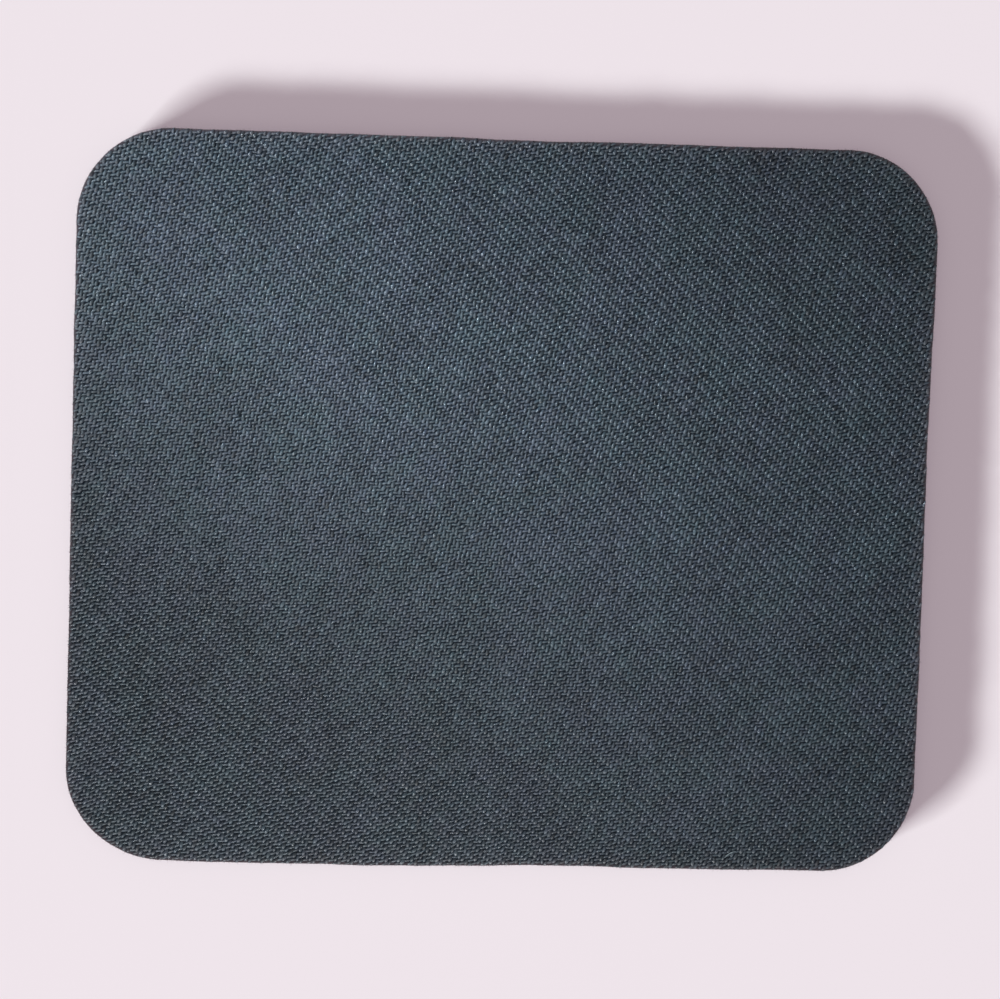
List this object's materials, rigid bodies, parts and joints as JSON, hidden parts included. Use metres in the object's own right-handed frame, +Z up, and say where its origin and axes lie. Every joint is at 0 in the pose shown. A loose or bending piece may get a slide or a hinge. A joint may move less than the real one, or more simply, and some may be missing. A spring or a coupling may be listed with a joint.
{
  "type": "mouse pad",
  "caption": "Flat rectangular mouse pad with round corners: dark twill cloth bonded to a sponge rubber base with a wavy anti-slip underside.",
  "frame": {"origin": "middle of the underside, on the surface that the pad lies on", "axes": "+X along the long sides, +Y away from the user, +Z up through the layers"},
  "size_m": [0.2116, 0.18, 0.003],
  "materials": {
    "rubber": "matt sponge rubber, moulded underside, die-cut wall",
    "film": "clear hot-melt adhesive film",
    "cloth": "dark slate twill weave, slightly lustrous filament yarn"
  },
  "bodies": {
    "root": {"rubber_base": "rubber", "bonding_film": "film", "cloth_face": "cloth"}
  },
  "joints": []
}
